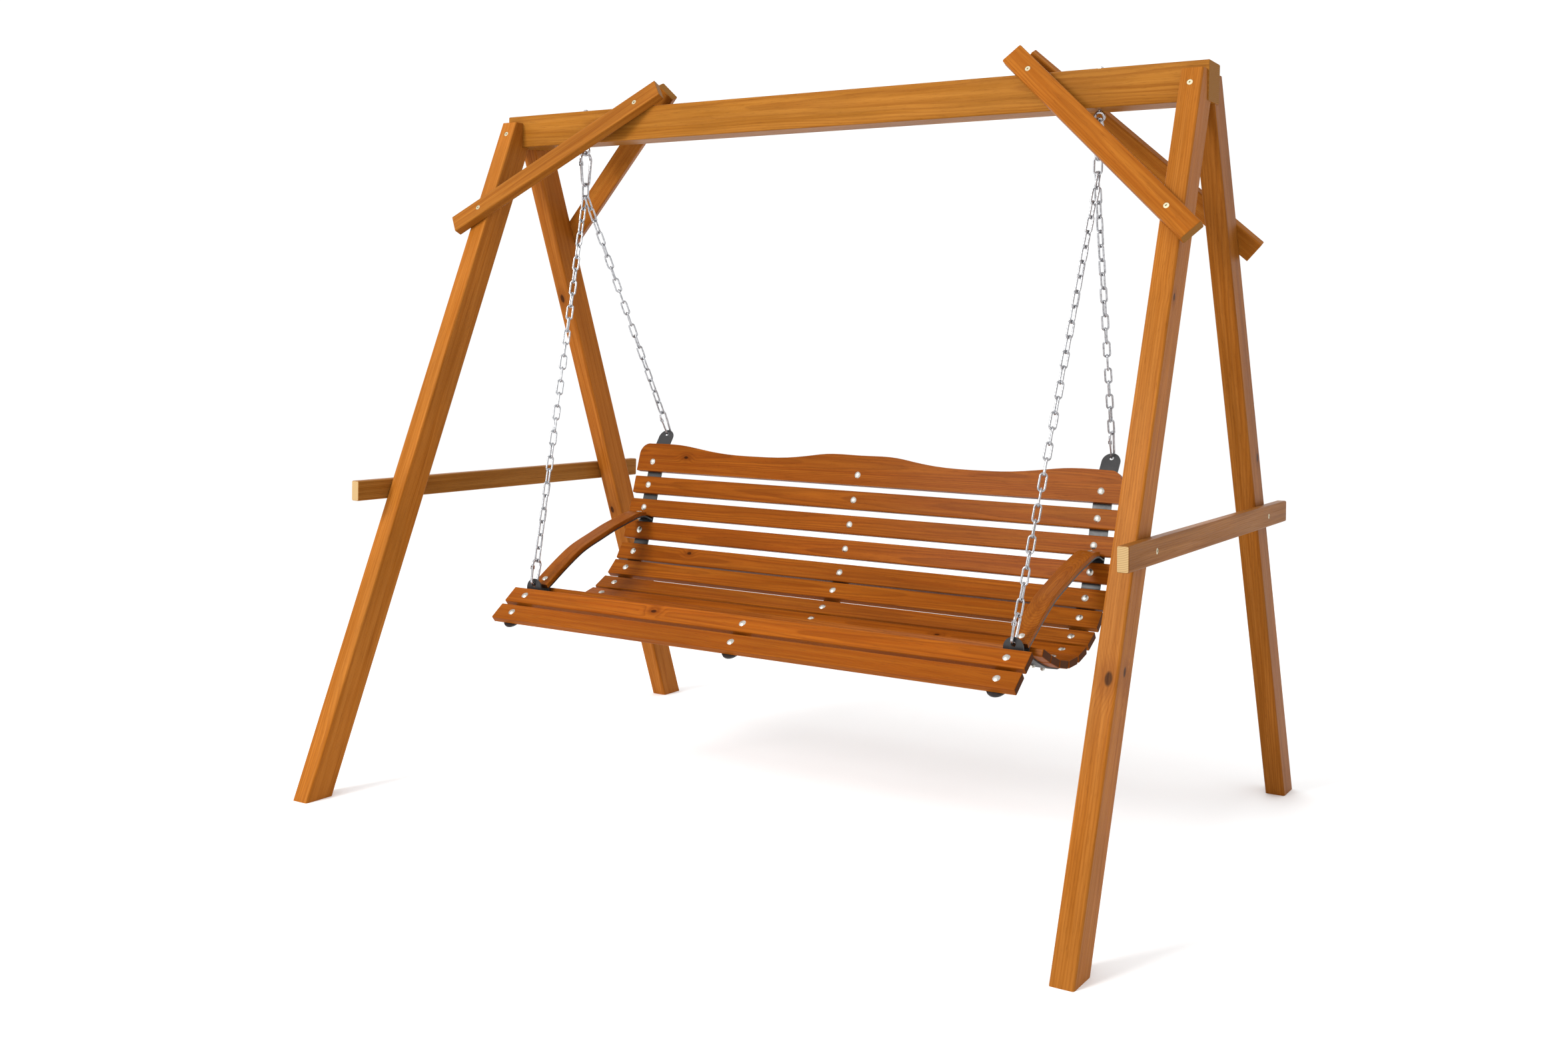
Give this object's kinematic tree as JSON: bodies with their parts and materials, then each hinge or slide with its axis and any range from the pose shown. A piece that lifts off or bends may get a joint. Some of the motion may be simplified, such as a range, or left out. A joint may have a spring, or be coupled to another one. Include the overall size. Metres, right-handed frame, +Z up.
{
  "type": "porch swing",
  "caption": "Garden swing bench of curved wooden slats hung on chains from an A-frame with a top beam, corner braces and side rails.",
  "frame": {"origin": "on the ground under the middle of the beam", "axes": "+Z up, +X along the beam, -Y towards the front of the bench"},
  "size_m": [2.157, 1.5026, 1.8646],
  "materials": {
    "slat_wood": "satin varnish",
    "arm_wood": "satin varnish",
    "frame_wood": "satin varnish",
    "brace_wood": "satin varnish",
    "rail_wood": "satin varnish",
    "black_steel": "satin powder coat",
    "chain_zinc": "bright zinc",
    "carabiner_zinc": "bright zinc",
    "bolt_zinc": "zinc",
    "screw_zinc": "yellow zinc"
  },
  "bodies": {
    "frame": {"beam": "frame_wood", "leg_front_right": "frame_wood", "leg_front_left": "frame_wood", "leg_rear_right": "frame_wood", "leg_rear_left": "frame_wood", "rail_right": "rail_wood", "rail_left": "rail_wood", "brace_front_right": "brace_wood", "brace_front_left": "brace_wood", "brace_rear_right": "brace_wood", "brace_rear_left": "brace_wood", "leg_top_screws": "screw_zinc", "brace_screws": "screw_zinc", "rail_screws": "screw_zinc", "eye_bolt_left": "bolt_zinc", "eye_bolt_right": "bolt_zinc", "eye_bolt_nuts": "bolt_zinc", "eye_bolt_washers": "bolt_zinc"},
    "hangers": {"top_carabiner_left": "carabiner_zinc", "top_carabiner_right": "carabiner_zinc", "top_link_left": "chain_zinc", "top_link_right": "chain_zinc"},
    "bench": {"slat_01_crest": "slat_wood", "slat_02": "slat_wood", "slat_03": "slat_wood", "slat_04": "slat_wood", "slat_05": "slat_wood", "slat_06": "slat_wood", "slat_07": "slat_wood", "slat_08": "slat_wood", "slat_09": "slat_wood", "slat_10": "slat_wood", "slat_11": "slat_wood", "slat_12": "slat_wood", "slat_13": "slat_wood", "slat_14_front": "slat_wood", "strap_left": "black_steel", "strap_middle": "black_steel", "strap_right": "black_steel", "arm_band_left": "black_steel", "arm_band_right": "black_steel", "armrest_left": "arm_wood", "armrest_right": "arm_wood", "slat_bolts": "bolt_zinc", "armrest_bolts": "bolt_zinc", "bench_nuts": "bolt_zinc", "chain_front_left": "chain_zinc", "chain_front_right": "chain_zinc", "chain_rear_left": "chain_zinc", "chain_rear_right": "chain_zinc", "carabiner_front_left": "carabiner_zinc", "carabiner_front_right": "carabiner_zinc", "carabiner_rear_left": "carabiner_zinc", "carabiner_rear_right": "carabiner_zinc"},
    "top_carabiner_right_gate": {"top_carabiner_right_gate": "carabiner_zinc"},
    "top_carabiner_left_gate": {"top_carabiner_left_gate": "carabiner_zinc"},
    "carabiner_front_right_gate": {"carabiner_front_right_gate": "carabiner_zinc"},
    "carabiner_rear_right_gate": {"carabiner_rear_right_gate": "carabiner_zinc"},
    "carabiner_front_left_gate": {"carabiner_front_left_gate": "carabiner_zinc"},
    "carabiner_rear_left_gate": {"carabiner_rear_left_gate": "carabiner_zinc"}
  },
  "joints": [
    {"name": "swing", "type": "hinge", "parent": "frame", "child": "hangers", "pos_m": [0, -0.011, 1.6785], "axis": [1, 0, 0], "range_deg": [-25, 25]},
    {"name": "bench_pitch", "type": "hinge", "parent": "hangers", "child": "bench", "pos_m": [0, -0.011, 1.5607], "axis": [1, 0, 0], "range_deg": [-8, 8]},
    {"name": "top_carabiner_right_gate_opens", "type": "hinge", "parent": "hangers", "child": "top_carabiner_right_gate", "pos_m": [0.76, -0.02958, 1.65136], "axis": [1, 0, 0], "range_deg": [0, 18], "stiffness_Nm_per_rad": 0.05, "springref_deg": -22.92},
    {"name": "top_carabiner_left_gate_opens", "type": "hinge", "parent": "hangers", "child": "top_carabiner_left_gate", "pos_m": [-0.76, -0.02958, 1.65136], "axis": [1, 0, 0], "range_deg": [0, 18], "stiffness_Nm_per_rad": 0.05, "springref_deg": -22.92},
    {"name": "carabiner_front_right_gate_opens", "type": "hinge", "parent": "bench", "child": "carabiner_front_right_gate", "pos_m": [0.70011, -0.27774, 0.56236], "axis": [0.9981, 0, -0.0623], "range_deg": [0, 18], "stiffness_Nm_per_rad": 0.05, "springref_deg": -22.92},
    {"name": "carabiner_rear_right_gate_opens", "type": "hinge", "parent": "bench", "child": "carabiner_rear_right_gate", "pos_m": [0.70083, 0.26133, 0.93434], "axis": [0.996, 0, -0.0895], "range_deg": [0, 18], "stiffness_Nm_per_rad": 0.05, "springref_deg": -22.92},
    {"name": "carabiner_front_left_gate_opens", "type": "hinge", "parent": "bench", "child": "carabiner_front_left_gate", "pos_m": [-0.70011, -0.27774, 0.56236], "axis": [0.9981, 0, 0.0623], "range_deg": [0, 18], "stiffness_Nm_per_rad": 0.05, "springref_deg": -22.92},
    {"name": "carabiner_rear_left_gate_opens", "type": "hinge", "parent": "bench", "child": "carabiner_rear_left_gate", "pos_m": [-0.70083, 0.26133, 0.93434], "axis": [0.996, 0, 0.0895], "range_deg": [0, 18], "stiffness_Nm_per_rad": 0.05, "springref_deg": -22.92}
  ]
}
